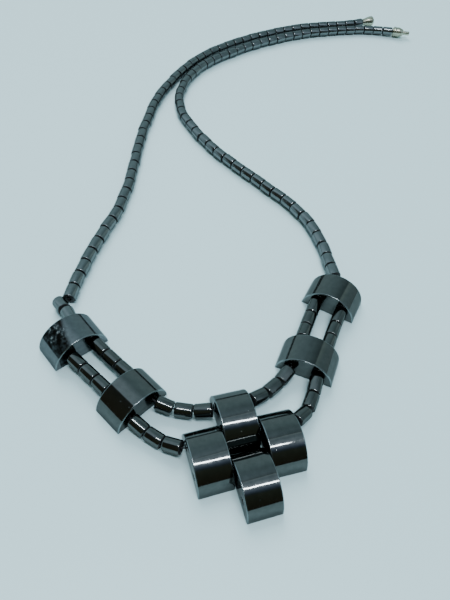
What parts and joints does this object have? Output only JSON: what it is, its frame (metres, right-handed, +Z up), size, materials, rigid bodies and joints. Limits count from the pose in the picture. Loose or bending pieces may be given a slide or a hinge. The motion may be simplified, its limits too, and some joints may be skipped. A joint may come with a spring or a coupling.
{
  "type": "hematite bead necklace",
  "caption": "Short necklace of dark mirror-polished stone tube beads on thread, with half-round dome beads at the front, a cross-shaped pendant of dome beads and a small barrel clasp",
  "frame": {"origin": "on the resting surface, under the middle of the whole lying necklace", "axes": "+Z up out of the surface, +Y from the pendant toward the clasp, +X to the right of the lying necklace seen from above with the pendant toward the viewer"},
  "size_m": [0.1302, 0.2684, 0.0078],
  "materials": {
    "hematite": "mirror polish",
    "thread": "waxed, dull",
    "clasp_metal": "pale plating, softly worn"
  },
  "bodies": {
    "root": {"strand_left": "hematite", "strand_right": "hematite", "dome_left_outer": "hematite", "dome_left_inner": "hematite", "dome_centre_left": "hematite", "dome_centre_top": "hematite", "dome_centre_right": "hematite", "dome_centre_bottom": "hematite", "dome_right_inner": "hematite", "dome_right_outer": "hematite", "tube_left_near_1": "hematite", "tube_left_near_2": "hematite", "tube_left_near_3": "hematite", "tube_left_far_1": "hematite", "tube_left_far_2": "hematite", "tube_left_far_3": "hematite", "tube_left_bridge_near_1": "hematite", "tube_left_bridge_near_2": "hematite", "tube_left_bridge_near_3": "hematite", "tube_left_bridge_far_1": "hematite", "tube_left_bridge_far_2": "hematite", "tube_left_bridge_far_3": "hematite", "tube_right_bridge_near_1": "hematite", "tube_right_bridge_near_2": "hematite", "tube_right_bridge_near_3": "hematite", "tube_right_bridge_far_1": "hematite", "tube_right_bridge_far_2": "hematite", "tube_right_bridge_far_3": "hematite", "tube_right_near_1": "hematite", "tube_right_near_2": "hematite", "tube_right_near_3": "hematite", "tube_right_far_1": "hematite", "tube_right_far_2": "hematite", "tube_right_far_3": "hematite", "thread_left": "thread", "thread_right": "thread", "thread_inner": "thread", "thread_outer": "thread", "thread_lower": "thread", "clasp_socket": "clasp_metal", "clasp_plug": "clasp_metal"}
  },
  "joints": []
}
